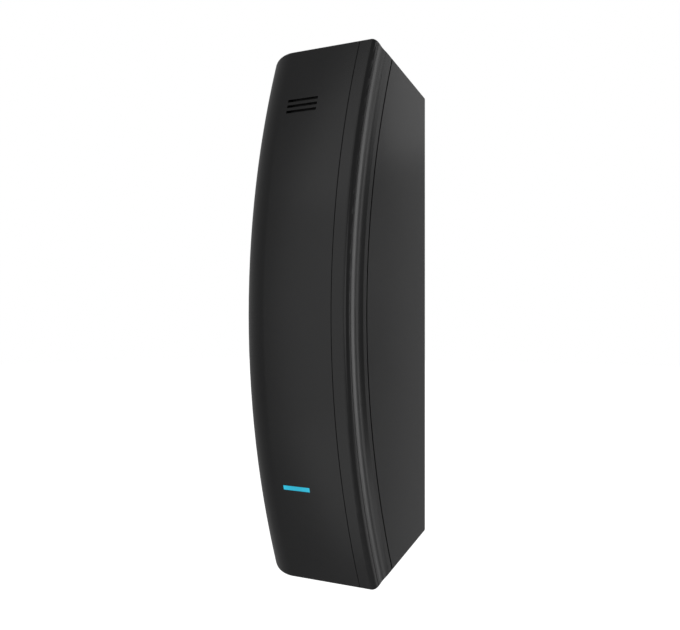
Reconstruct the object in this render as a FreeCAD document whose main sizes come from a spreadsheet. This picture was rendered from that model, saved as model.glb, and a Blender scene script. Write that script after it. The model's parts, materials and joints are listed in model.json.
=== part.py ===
"""Wall-mounted card reader with a bowed front.

X runs across the width, Z runs up, and the wall is the plane Y = 0 with the reader in front of it
(towards -Y). The origin is the centre of the wall face. Lengths are in millimetres.

The cover, the rail, the frame and the housing all follow one circular bow, seen from the side, whose
centre lies behind the wall. A "level" is a distance measured outwards from that reference bow: the
front skin is at a positive level, and the seam between frame and housing at a negative one.
Depths are distances in front of the wall, so a depth of 5 is the plane Y = -5.
"""
import FreeCAD
import Part
import Sketcher
import math
import os
import re

SIZES = {
    # outer form
    "body_width": 48.0,
    "bow_radius": 254.0,
    "middle_depth": 33.0,
    "rear_half_height": 63.75,
    "end_slope": 33.1,
    "front_level": 1.9,
    "seam_level": 6.85,
    "seam_gap": 0.4,
    "left_round": 15.6,
    "right_round": 1.6,
    "edge_round": 0.6,
    "rear_round": 0.3,
    "line_round": 0.15,
    "cover_wall": 2.0,
    "housing_wall": 2.2,
    "part_gap": 0.1,
    # edge rail and the hollowed strip behind it
    "rail_width": 5.6,
    "crease_gap": 0.15,
    "rail_pin_radius": 1.0,
    "rail_pin_fit": 0.05,
    "rail_pin_x": 21.2,
    "rail_pin_pitch": 40.0,
    "rail_pin_length": 3.5,
    "rail_pin_root": 0.6,
    "rail_pin_floor": 0.5,
    "hollow_width": 5.2,
    "hollow_depth": 0.55,
    # gasket in the seam
    "gasket_inset": 0.8,
    "gasket_gap": 0.02,
    # mid frame
    "frame_level": 0.35,
    "frame_clearance": 0.15,
    "window_left": 14.0,
    "window_right": 17.0,
    "window_top": 68.5,
    "frame_boss_x": 16.8,
    "frame_boss_z": 54.0,
    "frame_boss_radius": 2.6,
    "frame_boss_front": 20.9,
    "frame_boss_floor": 2.0,
    "frame_thread_radius": 1.05,
    "frame_screw_floor": 3.0,
    # snap tongues of the cover
    "tongue_wall": 1.4,
    "tongue_width": 8.0,
    "tongue_gap": 0.1,
    "tongue_level": 0.9,
    "tongue_hook": 0.8,
    "tongue_hook_length": 1.2,
    "tongue_hook_root": 0.2,
    "end_tongue_reach": 1.6,
    "side_tongue_reach": 1.8,
    "side_tongue_z": 30.0,
    # rear wall of the housing, and the pocket for the bracket behind it
    "rear_wall_front": 7.4,
    "rear_wall_back": 5.4,
    "terminal_opening_width": 28.0,
    "terminal_opening_top": 1.0,
    "terminal_opening_bottom": 18.0,
    # wall bracket
    "bracket_thickness": 2.0,
    "bracket_width": 38.0,
    "bracket_top": 57.0,
    "bracket_bottom": 58.5,
    "gang_box_spacing": 83.3,
    "small_box_spacing": 60.0,
    "wall_hole_radius": 2.1,
    "cable_window_width": 26.0,
    "cable_window_top": 2.0,
    "cable_window_bottom": 18.0,
    "hook_x": 10.0,
    "hook_width": 7.0,
    "hook_front": 4.9,
    "hook_thickness": 1.0,
    "hook_foot": 1.8,
    "hook_top": 61.3,
    "lip_width": 9.0,
    "lip_front": 2.9,
    "lip_back": 1.9,
    "lip_bottom": 58.4,
    "ear_front": 9.5,
    "ear_width": 12.0,
    "ear_bottom": 57.5,
    "ear_thickness": 1.5,
    "ear_slot_radius": 1.7,
    # lock screw and the recess it works in
    "recess_width": 16.0,
    "recess_front": 12.5,
    "recess_top": 52.4,
    "recess_wall": 1.6,
    "lock_depth": 6.4,
    "lock_screw_radius": 1.45,
    "lock_hole_radius": 1.6,
    "lock_head_radius": 2.75,
    "lock_head_height": 1.9,
    "lock_head_clearance": 0.3,
    "lock_gap": 0.05,
    "lock_seat": 62.5,
    "lock_boss_radius": 4.2,
    "lock_boss_top": 58.1,
    "lock_tip": 53.2,
    "lock_socket_radius": 1.2,
    "lock_socket_depth": 0.95,
    "lock_nut_width": 5.5,
    "lock_nut_height": 2.3,
    # circuit boards
    "main_board_width": 36.0,
    "main_board_height": 98.0,
    "main_board_back": 11.0,
    "main_board_front": 12.6,
    "board_boss_x": 15.0,
    "board_boss_z": 44.0,
    "board_boss_radius": 2.6,
    "board_boss_root": 0.5,
    "board_thread_floor": 0.7,
    "board_screw_floor": 1.2,
    "front_board_width": 27.0,
    "front_board_bottom": 56.0,
    "front_board_top": 66.5,
    "front_board_back": 21.0,
    "front_board_front": 22.0,
    "front_screw_reach": 3.5,
    "spacer_x": 10.0,
    "spacer_z": 46.0,
    "spacer_radius": 2.2,
    "spacer_thread_depth": 4.0,
    # small screws
    "screw_radius": 0.9,
    "thread_hole_radius": 0.95,
    "clearance_radius": 1.3,
    "screw_head_radius": 2.0,
    "screw_head_height": 1.4,
    "drive_depth": 0.7,
    "drive_reach": 1.1,
    "drive_half_width": 0.25,
    # parts on the boards
    "coil_half_width": 12.0,
    "coil_half_height": 43.0,
    "coil_track": 0.6,
    "coil_pitch": 1.1,
    "coil_thickness": 0.1,
    "ferrite_half_width": 12.5,
    "ferrite_thickness": 0.4,
    "notch_half_width": 7.5,
    "notch_half_height": 2.0,
    "link_z": 30.0,
    "link_half_width": 6.35,
    "link_half_height": 1.25,
    "link_height": 2.5,
    "link_pin_radius": 0.3,
    "link_pitch": 2.54,
    "can_half_width": 9.0,
    "can_bottom": 8.0,
    "can_top": 32.0,
    "can_height": 3.0,
    "can_wall": 0.4,
    "chip_half_width": 5.0,
    "chip_height": 1.2,
    "chip_z": 7.0,
    "capacitor_radius": 3.0,
    "capacitor_height": 5.5,
    "capacitor_x": 8.0,
    "capacitor_z": 20.0,
    # front features
    "light_z": 50.7,
    "light_length": 10.5,
    "light_height": 1.2,
    "light_clearance": 0.05,
    "light_gap": 1.1,
    "guide_foot_front": 27.1,
    "guide_foot_back": 25.9,
    "guide_foot_margin": 1.2,
    "led_pitch": 3.4,
    "led_length": 1.6,
    "led_width": 0.8,
    "led_height": 0.7,
    "slot_z": 61.1,
    "slot_pitch": 1.65,
    "slot_length": 12.0,
    "slot_height": 0.8,
    "sounder_base": 9.6,
    "sounder_base_height": 0.4,
    "sounder_radius": 4.1,
    "sounder_height": 1.6,
    "sounder_port_radius": 0.9,
    "sounder_port_floor": 1.0,
    "mesh_half_width": 7.4,
    "mesh_half_height": 3.4,
    "mesh_gap": 0.03,
    "mesh_thickness": 0.27,
    # terminals
    "terminal_pitch": 3.0,
    "terminal_block_width": 25.4,
    "terminal_block_top": 2.0,
    "terminal_block_bottom": 11.0,
    "terminal_block_back": 4.0,
    "port_half_width": 1.0,
    "port_front": 3.6,
    "port_back": 1.4,
    "port_depth": 6.0,
    "clamp_drop": 4.0,
    "clamp_hole_radius": 1.15,
    "clamp_hole_depth": 1.5,
    "clamp_screw_radius": 1.05,
    "clamp_screw_front": 1.4,
    "clamp_screw_back": 0.4,
    "clamp_slot_floor": 0.8,
    "clamp_slot_half_width": 0.2,
    "foam_margin": 0.6,
    "foam_border": 2.4,
    "foam_gap": 0.05,
    # tamper switch
    "tamper_x": 9.0,
    "tamper_z": 36.0,
    "tamper_body": 6.0,
    "tamper_opening": 6.3,
    "tamper_body_back": 5.5,
    "chamber_radius": 2.1,
    "chamber_front": 10.6,
    "chamber_back": 6.0,
    "plunger_radius": 1.2,
    "plunger_clearance": 0.05,
    "plunger_tip": 2.05,
    "flange_radius": 1.9,
    "flange_front": 9.2,
    "flange_back": 8.6,
    "spring_wire": 0.12,
    "spring_gap": 0.05,
    "spring_side_gap": 0.2,
    "spring_coils": 3.0,
    # how far a cutting tool runs past what it cuts, and how far joined bars run into each other
    "overrun": 1.0,
    "overlap": 0.2,
}

TERMINAL_WAYS = 8
LINK_PINS = 5
COIL_TURNS = 4
SOCKET_SIDES = 6
WIDE = 200.0
LEAST_ROUND = 0.3
NEARNESS = 0.001
SPOTS_ON_EDGE = 5

doc = FreeCAD.newDocument("card_reader")
sheet = doc.addObject("Spreadsheet::Sheet", "sizes")


def fill_sheet():
    """Put each driving dimension in the sheet, under its own name."""
    for row, (alias, value) in enumerate(SIZES.items(), start=1):
        sheet.set(f"A{row}", alias.replace("_", " "))
        sheet.set(f"B{row}", str(value))
        sheet.setAlias(f"B{row}", alias)
    doc.recompute()


def cells(formula):
    """Point the plain size names in a formula at the sheet."""
    def point(word):
        name = word.group(0)
        return f"sizes.{name}" if name in SIZES else name
    return re.sub(r"[a-z_]+", point, str(formula))


def worth(formula):
    """The number that a formula of size names stands for."""
    return float(sheet.evalExpression(cells(formula)))


def bind(item, **formulas):
    """Tie an object's properties to formulas of size names."""
    for name, formula in formulas.items():
        item.setExpression(name, cells(formula))
    return item


def at(item, x, y, z):
    """Tie an object's position to formulas."""
    for axis, formula in zip("xyz", (x, y, z)):
        item.setExpression(f"Placement.Base.{axis}", cells(formula))
    return item


def block(name, left, right, front, back, bottom, top):
    """A box between two x, two depths in front of the wall, and two heights."""
    box = doc.addObject("Part::Box", name)
    bind(box, Length=f"({right}) - ({left})", Width=f"({front}) - ({back})", Height=f"({top}) - ({bottom})")
    return at(box, left, f"-({front})", bottom)


def rod_back(name, radius, front, back, x, z):
    """A round bar square to the wall, between two depths."""
    rod = doc.addObject("Part::Cylinder", name)
    rod.Placement.Rotation = FreeCAD.Rotation(FreeCAD.Vector(1, 0, 0), -90)
    bind(rod, Radius=radius, Height=f"({front}) - ({back})")
    return at(rod, x, f"-({front})", z)


def rod_up(name, radius, bottom, top, x, depth):
    """A round upright bar between two heights."""
    rod = doc.addObject("Part::Cylinder", name)
    bind(rod, Radius=radius, Height=f"({top}) - ({bottom})")
    return at(rod, x, f"-({depth})", bottom)


def bow(name, level):
    """The solid drum behind one level of the bow, as wide as needed."""
    drum = doc.addObject("Part::Cylinder", name)
    drum.Placement.Rotation = FreeCAD.Rotation(FreeCAD.Vector(0, 1, 0), 90)
    bind(drum, Radius=f"bow_radius + ({level})", Height="body_width + 2 * overrun")
    return at(drum, "-body_width / 2 - overrun", "bow_radius - middle_depth", "0")


def cut(name, base, *tools):
    """The base with every tool taken away from it."""
    result = doc.addObject("Part::Cut", name)
    result.Base = base
    result.Tool = tools[0] if len(tools) == 1 else fuse(name + "_tools", *tools)
    return result


def fuse(name, *items):
    """All the items as one."""
    result = doc.addObject("Part::MultiFuse", name)
    result.Shapes = list(items)
    return result


def common(name, *items):
    """The space that all the items share."""
    result = doc.addObject("Part::MultiCommon", name)
    result.Shapes = list(items)
    return result


def group(name, *items):
    """Separate solids that share one name."""
    result = doc.addObject("Part::Compound", name)
    result.Links = list(items)
    return result


def shell(name, outer_level, inner_level):
    """The space between two levels of the bow."""
    return cut(name, bow(name + "_outer", outer_level), bow(name + "_inner", inner_level))


def bow_depth(level, z):
    """Formula for the depth of a level of the bow at a height."""
    return f"(middle_depth - bow_radius + sqrt((bow_radius + ({level}))^2 - ({z})^2))"


def origin_plane(body, role):
    """One of a body's own origin planes."""
    return next(item for item in body.Origin.OriginFeatures if item.Role == role)


def side_outline(body, name, skin, rear):
    """Sketch of the side view: flat rear, sloping ends and bowed front, all a skin inside the outside."""
    sketch = body.newObject("Sketcher::SketchObject", name)
    sketch.AttachmentSupport = [(origin_plane(body, "YZ_Plane"), "")]
    sketch.MapMode = "FlatFace"
    half_rear = f"rear_half_height - ({skin}) / cos(end_slope) + tan(end_slope) * ({rear})"
    radius = f"bow_radius + front_level - ({skin})"
    centre = "bow_radius - middle_depth"
    rear_y = -worth(rear)
    rear_z = worth(half_rear)
    slope = math.radians(worth("end_slope"))
    centre_y = worth(centre)
    bow_r = worth(radius)
    reach = rear_z + math.tan(slope) * (rear_y - centre_y)
    angle = slope + math.asin(reach * math.cos(slope) / bow_r)
    front_y = centre_y - bow_r * math.cos(angle)
    front_z = bow_r * math.sin(angle)
    corners = [(rear_y, -rear_z), (rear_y, rear_z), (front_y, front_z), (front_y, -front_z)]
    points = [FreeCAD.Vector(y, z, 0) for y, z in corners]
    circle = Part.Circle(FreeCAD.Vector(centre_y, 0, 0), FreeCAD.Vector(0, 0, 1), bow_r)
    sketch.addGeometry([
        Part.LineSegment(points[0], points[1]),
        Part.LineSegment(points[1], points[2]),
        Part.ArcOfCircle(circle, math.pi - angle, math.pi + angle),
        Part.LineSegment(points[3], points[0]),
    ])
    make = Sketcher.Constraint
    sketch.addConstraint([
        make("Coincident", 0, 2, 1, 1),
        make("Coincident", 1, 2, 2, 1),
        make("Coincident", 2, 2, 3, 1),
        make("Coincident", 3, 2, 0, 1),
        make("Symmetric", 0, 1, 0, 2, -1),
        make("Symmetric", 2, 1, 2, 2, -1),
    ])
    if rear_y == 0:
        sketch.addConstraint(make("PointOnObject", 0, 2, -2))
    else:
        set_size(sketch, make("DistanceX", -1, 1, 0, 2, rear_y), "rear", f"-({rear})")
    set_size(sketch, make("DistanceY", -1, 1, 0, 2, rear_z), "half_rear", half_rear)
    set_size(sketch, make("DistanceX", -1, 1, 2, 3, centre_y), "centre", centre)
    set_size(sketch, make("Radius", 2, bow_r), "radius", radius)
    set_size(sketch, make("Angle", 1, math.pi - slope), "slope", "180 - end_slope")
    return sketch


def set_size(sketch, constraint, name, formula):
    """Add a dimension to a sketch and tie it to a formula."""
    index = sketch.addConstraint(constraint)
    sketch.renameConstraint(index, name)
    sketch.setExpression(f"Constraints.{name}", cells(formula))


def bow_edges(shape, side):
    """Names of the front arcs of a shape that lie on one side of it."""
    names = []
    for number, edge in enumerate(shape.Edges, start=1):
        is_arc = isinstance(edge.Curve, Part.Circle) and edge.Curve.Radius > worth("bow_radius / 2")
        if is_arc and edge.CenterOfMass.x * side > worth("body_width") / 4:
            names.append(f"Edge{number}")
    return names


def round_edges(body, name, base, edges, radius):
    """Round some edges of a body's last feature."""
    feature = body.newObject("PartDesign::Fillet", name)
    feature.Base = (base, edges)
    bind(feature, Radius=radius)
    doc.recompute()
    return feature


def edges_round(shape, is_wanted):
    """Names of the edges round the flat faces whose outward direction is wanted."""
    names = set()
    for face in shape.Faces:
        if not isinstance(face.Surface, Part.Plane) or not is_wanted(face.normalAt(0, 0)):
            continue
        for edge in face.Edges:
            names.update(f"Edge{n}" for n, other in enumerate(shape.Edges, start=1) if other.isSame(edge))
    return sorted(names)


def eased(name, item, outer, side):
    """The item with the edges it shows at one distance from the middle rounded a little."""
    body = doc.addObject("PartDesign::Body", name)
    body.BaseFeature = item
    doc.recompute()
    base = body.Group[0]
    skin = outer.Shape.Shells[0]
    x = worth(side)
    names = []
    for number, edge in enumerate(base.Shape.Edges, start=1):
        spots = edge.discretize(SPOTS_ON_EDGE)
        in_plane = all(abs(spot.x - x) < NEARNESS for spot in spots)
        if in_plane and all(skin.distToShape(Part.Vertex(spot))[0] < NEARNESS for spot in spots):
            names.append(f"Edge{number}")
    body.Tip = round_edges(body, name + "_line", base, names, "line_round")
    doc.recompute()
    return body


def end_edges(shape):
    """Names of the edges round the two sloping end faces, without the ones along the wall."""
    names = edges_round(shape, lambda normal: abs(normal.z) > 0.5)
    return [name for name in names if shape.getElement(name).CenterOfMass.y < -worth("rear_round")]


def rear_edges(shape):
    """Names of the edges round the face that lies on the wall."""
    return edges_round(shape, lambda normal: normal.y > 0.9)


def envelope(name, skin, rear, with_small_edges=False):
    """The reader's outer form, a skin inside its surface, as far back as the rear depth."""
    body = doc.addObject("PartDesign::Body", name)
    outline = side_outline(body, name + "_outline", skin, rear)
    pad = body.newObject("PartDesign::Pad", name + "_pad")
    pad.Profile = outline
    pad.SideType = "Symmetric"
    bind(pad, Length=f"body_width - 2 * ({skin})")
    doc.recompute()
    last = round_edges(body, name + "_left", pad, bow_edges(pad.Shape, -1), f"left_round - ({skin})")
    if worth(f"right_round - ({skin})") > LEAST_ROUND:
        last = round_edges(body, name + "_right", last, bow_edges(last.Shape, 1), f"right_round - ({skin})")
    if with_small_edges:
        last = round_edges(body, name + "_ends", last, end_edges(last.Shape), "edge_round")
        last = round_edges(body, name + "_rear", last, rear_edges(last.Shape), "rear_round")
    body.Tip = last
    doc.recompute()
    return body


def wall_bracket():
    """Plate on the wall, with two hooks at the top and a slotted ear for the lock screw below."""
    half = "bracket_width / 2"
    plate = block("bracket_plate", f"-{half}", half, "bracket_thickness", "0",
                  "-bracket_bottom", "bracket_top")
    middle = "bracket_thickness / 2"
    hooks = []
    for side in (-1, 1):
        left = f"{side} * hook_x - hook_width / 2"
        right = f"{side} * hook_x + hook_width / 2"
        foot_bottom = "bracket_top - hook_foot"
        hooks.append(block("hook_foot", left, right, "hook_front", middle, foot_bottom, "bracket_top"))
        hooks.append(block("hook_upright", left, right, "hook_front", "hook_front - hook_thickness",
                           foot_bottom, "hook_top"))
    ear_half = "ear_width / 2"
    ear_top = "-ear_bottom + ear_thickness"
    ear = block("ear", f"-{ear_half}", ear_half, "ear_front", middle, "-ear_bottom", ear_top)
    slot_round = rod_up("ear_slot_round", "ear_slot_radius", "-ear_bottom - overrun", f"{ear_top} + overrun",
                        "0", "lock_depth")
    slot_open = block("ear_slot_open", "-ear_slot_radius", "ear_slot_radius", "ear_front + overrun",
                      "lock_depth", "-ear_bottom - overrun", f"{ear_top} + overrun")
    window_half = "cable_window_width / 2"
    window = block("cable_window", f"-{window_half}", window_half, "bracket_thickness + overrun", "-overrun",
                   "-cable_window_bottom", "cable_window_top")
    holes = [rod_back("wall_hole", "wall_hole_radius", "bracket_thickness + overrun", "-overrun",
                      "0", f"{side} * {spacing} / 2")
             for spacing in ("gang_box_spacing", "small_box_spacing") for side in (-1, 1)]
    solid = fuse("bracket_solid", plate, ear, *hooks)
    return cut("wall_bracket", solid, slot_round, slot_open, window, *holes)


def four_places(x, z):
    """Four places, mirrored across and up and down."""
    return [(f"{i} * {x}", f"{j} * {z}") for i in (-1, 1) for j in (-1, 1)]


def housing_pillars():
    """Pillars on the rear wall that carry the main board."""
    root = "rear_wall_back + board_boss_root"
    return [rod_back("board_boss", "board_boss_radius", "main_board_back", root, x, z)
            for x, z in four_places("board_boss_x", "board_boss_z")]


def housing_holes():
    """Everything cut through the housing: screws, lock, terminal opening and tamper switch."""
    front = "rear_wall_front + overrun"
    back = "rear_wall_back - overrun"
    threads = [rod_back("board_thread", "thread_hole_radius", "main_board_back + overrun",
                        "rear_wall_back + board_thread_floor", x, z)
               for x, z in four_places("board_boss_x", "board_boss_z")]
    frame_holes = [rod_back("frame_hole", "clearance_radius", front, back, x, z)
                   for x, z in four_places("frame_boss_x", "frame_boss_z")]
    lock_hole = rod_up("lock_hole", "lock_hole_radius", -WIDE, "-lock_boss_top + overrun", "0", "lock_depth")
    counterbore = rod_up("lock_counterbore", "lock_head_radius + lock_head_clearance", -WIDE, "-lock_seat",
                         "0", "lock_depth")
    half = "terminal_opening_width / 2"
    opening = block("terminal_opening", f"-{half}", half, front, back,
                    "-terminal_opening_bottom", "terminal_opening_top")
    tamper_half = "(tamper_opening / 2)"
    tamper = block("tamper_window", f"tamper_x - {tamper_half}", f"tamper_x + {tamper_half}", front, back,
                   f"-tamper_z - {tamper_half}", f"-tamper_z + {tamper_half}")
    return [lock_hole, counterbore, opening, tamper, *threads, *frame_holes]


def rear_housing(outer, inner):
    """Deep rear shell: flat flanks, a wall across it, and a pocket behind for the bracket."""
    behind_seam = common("housing_outside", outer, bow("housing_rim", "-seam_level - seam_gap / 2"))
    walls = cut("housing_walls", behind_seam, inner)
    slab = block("housing_slab", -WIDE, WIDE, "rear_wall_front", "rear_wall_back", -WIDE, WIDE)
    across = common("housing_across", outer, slab)
    half = "recess_width / 2"
    recess_box = block("recess_box", f"-{half} - recess_wall", f"{half} + recess_wall",
                       "recess_front + recess_wall", "rear_wall_back", -WIDE, "-recess_top + recess_wall")
    hollow_box = block("recess_hollow_box", f"-{half}", half, "recess_front", "-overrun",
                       -WIDE, "-recess_top")
    recess_outside = common("recess_outside", outer, recess_box)
    recess_hollow = common("recess_hollow", inner, hollow_box)
    boss_bar = rod_up("lock_boss_bar", "lock_boss_radius", -WIDE, "-lock_boss_top", "0", "lock_depth")
    lips = [common("hook_lip", outer,
                   block("hook_lip_box", f"{side} * hook_x - lip_width / 2",
                         f"{side} * hook_x + lip_width / 2", "lip_front", "lip_back", "lip_bottom", WIDE))
            for side in (-1, 1)]
    body = cut("housing_body", fuse("housing_solid", walls, across, recess_outside), recess_hollow)
    filled = fuse("housing_filled", body, common("lock_boss", outer, boss_bar), *lips, *housing_pillars())
    return cut("rear_housing", filled, *housing_holes())


def housing_gasket(inner):
    """Thin ring in the seam between the housing and the parts in front of it."""
    ring_outside = envelope("gasket_outside", "gasket_inset", "0")
    half = "(seam_gap / 2 - gasket_gap)"
    band = shell("gasket_band", f"-seam_level + {half}", f"-seam_level - {half}")
    return cut("housing_gasket", common("gasket_ring", ring_outside, band), inner)


def flank_hollow():
    """Ring that scoops the shallow concave strip out of the frame's right-hand side."""
    hollow = doc.addObject("Part::Torus", "flank_hollow")
    hollow.Placement.Rotation = FreeCAD.Rotation(FreeCAD.Vector(0, 1, 0), 90)
    section = "((hollow_width / 2)^2 + hollow_depth^2) / (2 * hollow_depth)"
    bind(hollow, Radius1="bow_radius - part_gap - hollow_width / 2", Radius2=section)
    return at(hollow, f"body_width / 2 - hollow_depth + {section}", "bow_radius - middle_depth", "0")


def rail_pin_heights():
    """Heights of the four pins under the edge rail."""
    return [f"{step} * rail_pin_pitch" for step in (-1.5, -0.5, 0.5, 1.5)]


def mid_frame(outer):
    """Ring behind the cover; its right-hand side shows as the hollowed strip along the flank."""
    inside_cover = envelope("frame_outline", "cover_wall + frame_clearance", "0")
    ring_band = shell("frame_ring_band", "-frame_level", "-seam_level + seam_gap / 2")
    bar_band = shell("frame_bar_band", "-part_gap", "-seam_level + seam_gap / 2")
    bar_box = block("frame_bar_box", "body_width / 2 - rail_width", WIDE, WIDE, -WIDE, -WIDE, WIDE)
    ring = common("frame_ring", inside_cover, ring_band)
    bar = common("frame_bar", outer, bar_band, bar_box)
    places = four_places("frame_boss_x", "frame_boss_z")
    bosses = [rod_back("frame_boss", "frame_boss_radius", "frame_boss_front", "rear_wall_front + part_gap",
                       x, z) for x, z in places]
    threads = [rod_back("frame_thread", "frame_thread_radius", "frame_boss_front - frame_boss_floor",
                        "rear_wall_front - overrun", x, z) for x, z in places]
    pin_holes = [rod_back("rail_pin_hole", "rail_pin_radius + rail_pin_fit", f"{bow_depth('0', z)} + overrun",
                          f"{bow_depth('0', z)} - rail_pin_length - rail_pin_floor", "rail_pin_x", z)
                 for z in rail_pin_heights()]
    window = block("frame_window", "-window_left", "window_right", WIDE, -WIDE, "-window_top", "window_top")
    solid = cut("frame_solid", fuse("frame_joined", ring, bar), window, flank_hollow())
    return cut("mid_frame", fuse("frame_with_bosses", solid, *bosses), *threads, *pin_holes)


def edge_rail(outer):
    """Slim rail down the right-hand edge of the front, pinned into the frame."""
    rail_box = block("rail_box", "body_width / 2 - rail_width", WIDE, WIDE, -WIDE, -WIDE, WIDE)
    square_bar = cut("rail_square_bar", common("rail_blank", outer, rail_box), bow("rail_underside", "0"))
    bar = eased("rail_bar", square_bar, outer, "body_width / 2 - rail_width")
    pins = [rod_back("rail_pin", "rail_pin_radius", f"{bow_depth('0', z)} + rail_pin_root",
                     f"{bow_depth('0', z)} - rail_pin_length", "rail_pin_x", z) for z in rail_pin_heights()]
    return fuse("edge_rail", bar, *pins)


def front_cover(outer):
    """Bowed cover that wraps round the left-hand edge and both ends, with the light and sounder slots."""
    inside = envelope("cover_inside", "cover_wall", "-overrun")
    right_side = block("cover_right_cut", "body_width / 2 - rail_width - crease_gap", WIDE,
                       WIDE, -WIDE, -WIDE, WIDE)
    square_skin = cut("cover_square_skin", outer, inside, bow("cover_rim", "-seam_level + seam_gap / 2"),
                      right_side)
    skin = eased("cover_skin", square_skin, outer, "body_width / 2 - rail_width - crease_gap")
    half = "(light_length / 2 + light_clearance)"
    high = "(light_height / 2 + light_clearance)"
    light_slot = front_slot("light_slot", half, f"-light_z - {high}", f"-light_z + {high}")
    sound_slots = [front_slot("sound_slot", "(slot_length / 2)",
                              f"slot_z + {i} * slot_pitch - slot_height / 2",
                              f"slot_z + {i} * slot_pitch + slot_height / 2") for i in (-1, 0, 1)]
    slotted = cut("cover_slotted", skin, light_slot, *sound_slots)
    return fuse("front_cover", slotted, *cover_tongues())


def front_slot(name, half, bottom, top):
    """A bar through the front skin, from in front of it to just above the front board."""
    return block(name, f"-{half}", half, "middle_depth + front_level + overrun",
                 "front_board_front + overrun", bottom, top)


def cover_tongues():
    """Snap tongues that reach through the frame's window and hook behind it."""
    parts = []
    half = "tongue_width / 2"
    for side in (-1, 1):
        middle = "(window_top - tongue_gap - tongue_wall / 2)"
        hook_middle = "(window_top - tongue_gap + tongue_hook / 2)"
        hook_half = "(tongue_hook / 2 + tongue_hook_root)"
        back = f"({bow_depth('-seam_level', middle)} - end_tongue_reach)"
        parts.append(block("end_tongue", f"-{half}", half, bow_depth("tongue_level", middle), back,
                           f"{side} * {middle} - tongue_wall / 2", f"{side} * {middle} + tongue_wall / 2"))
        parts.append(block("end_hook", f"-{half}", half, f"{back} + tongue_hook_length", back,
                           f"{side} * {hook_middle} - {hook_half}", f"{side} * {hook_middle} + {hook_half}"))
        bottom = f"{side} * side_tongue_z - {half}"
        top = f"{side} * side_tongue_z + {half}"
        outside = "window_right - tongue_gap"
        side_back = f"({bow_depth('-seam_level', 'side_tongue_z')} - side_tongue_reach)"
        parts.append(block("side_tongue", f"{outside} - tongue_wall", outside,
                           bow_depth("tongue_level", "side_tongue_z"), side_back, bottom, top))
        parts.append(block("side_hook", f"{outside} - 2 * tongue_hook_root", f"{outside} + tongue_hook",
                           f"{side_back} + tongue_hook_length", side_back, bottom, top))
    return parts


def light_guide():
    """Clear bar that fills the light slot, with a wider foot behind the cover."""
    half = "(light_length / 2)"
    high = "(light_height / 2)"
    stem = block("guide_stem", f"-{half}", half, "middle_depth + front_level + overrun",
                 "front_board_front + light_gap", f"-light_z - {high}", f"-light_z + {high}")
    trimmed = common("guide_stem_trimmed", stem, bow("guide_face", "front_level - light_clearance"))
    foot = block("guide_foot", f"-{half} - guide_foot_margin", f"{half} + guide_foot_margin",
                 "guide_foot_front", "guide_foot_back",
                 f"-light_z - {high} - guide_foot_margin", f"-light_z + {high} + guide_foot_margin")
    return fuse("light_guide", trimmed, foot)


def status_lights():
    """Three small lights on the front board behind the guide."""
    lights = [block("light", f"{i} * led_pitch - led_length / 2", f"{i} * led_pitch + led_length / 2",
                    "front_board_front + led_height", "front_board_front",
                    "-light_z - led_width / 2", "-light_z + led_width / 2") for i in (-1, 0, 1)]
    return group("status_lights", *lights)


def front_board():
    """Thin board that carries the antenna, the lights and the sounder."""
    half = "front_board_width / 2"
    blank = block("front_board_blank", f"-{half}", half, "front_board_front", "front_board_back",
                  "-front_board_bottom", "front_board_top")
    holes = [rod_back("front_board_hole", "clearance_radius", "front_board_front + overrun",
                      "front_board_back - overrun", x, z) for x, z in four_places("spacer_x", "spacer_z")]
    return cut("front_board", blank, *holes)


def antenna_coil():
    """Printed loop antenna: separate turns round the front board."""
    turns = []
    for turn in range(COIL_TURNS):
        wide = f"(coil_half_width - {turn} * coil_pitch)"
        high = f"(coil_half_height - {turn} * coil_pitch)"
        outer = block("turn_outside", f"-{wide}", wide, "front_board_front + coil_thickness",
                      "front_board_front", f"-{high}", high)
        inner = block("turn_inside", f"-{wide} + coil_track", f"{wide} - coil_track",
                      "front_board_front + overrun", "front_board_front - overrun",
                      f"-{high} + coil_track", f"{high} - coil_track")
        turns.append(cut("coil_turn", outer, inner))
    return group("antenna_coil", *turns)


def ferrite_sheet():
    """Sheet behind the antenna that keeps a metal mullion from detuning it."""
    blank = block("ferrite_blank", "-ferrite_half_width", "ferrite_half_width", "front_board_back",
                  "front_board_back - ferrite_thickness", "-coil_half_height", "coil_half_height")
    notch = block("ferrite_notch", "-notch_half_width", "notch_half_width", "front_board_back + overrun",
                  "front_board_back - overrun", "-link_z - notch_half_height", "-link_z + notch_half_height")
    return cut("ferrite_sheet", blank, notch)


def board_spacers():
    """Four threaded spacers between the two boards."""
    spacers = []
    for x, z in four_places("spacer_x", "spacer_z"):
        post = rod_back("spacer_post", "spacer_radius", "front_board_back", "main_board_front", x, z)
        thread = rod_back("spacer_thread", "thread_hole_radius", "front_board_back + overrun",
                          "front_board_back - spacer_thread_depth", x, z)
        spacers.append(cut("spacer", post, thread))
    return group("board_spacers", *spacers)


def cross_drive(name, front, back, x, z):
    """The two crossed slots in a screw head, between two depths."""
    return [block(name, f"{x} - {wide}", f"{x} + {wide}", front, back, f"{z} - {high}", f"{z} + {high}")
            for wide, high in (("drive_reach", "drive_half_width"), ("drive_half_width", "drive_reach"))]


def pan_head_screw(name, x, z, seat, tip):
    """A small cross-head screw driven from the front: the head is in front of its seat."""
    top = f"{seat} + screw_head_height"
    head = rod_back(name + "_head", "screw_head_radius", top, seat, x, z)
    shank = rod_back(name + "_shank", "screw_radius", f"{seat} + overlap", tip, x, z)
    drive = cross_drive(name + "_drive", f"{top} + overrun", f"{top} - drive_depth", x, z)
    return cut(name, fuse(name + "_solid", head, shank), *drive)


def board_screws():
    """Four screws that hold the main board to the housing."""
    return group("board_screws", *[
        pan_head_screw("board_screw", x, z, "main_board_front", "rear_wall_back + board_screw_floor")
        for x, z in four_places("board_boss_x", "board_boss_z")])


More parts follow.
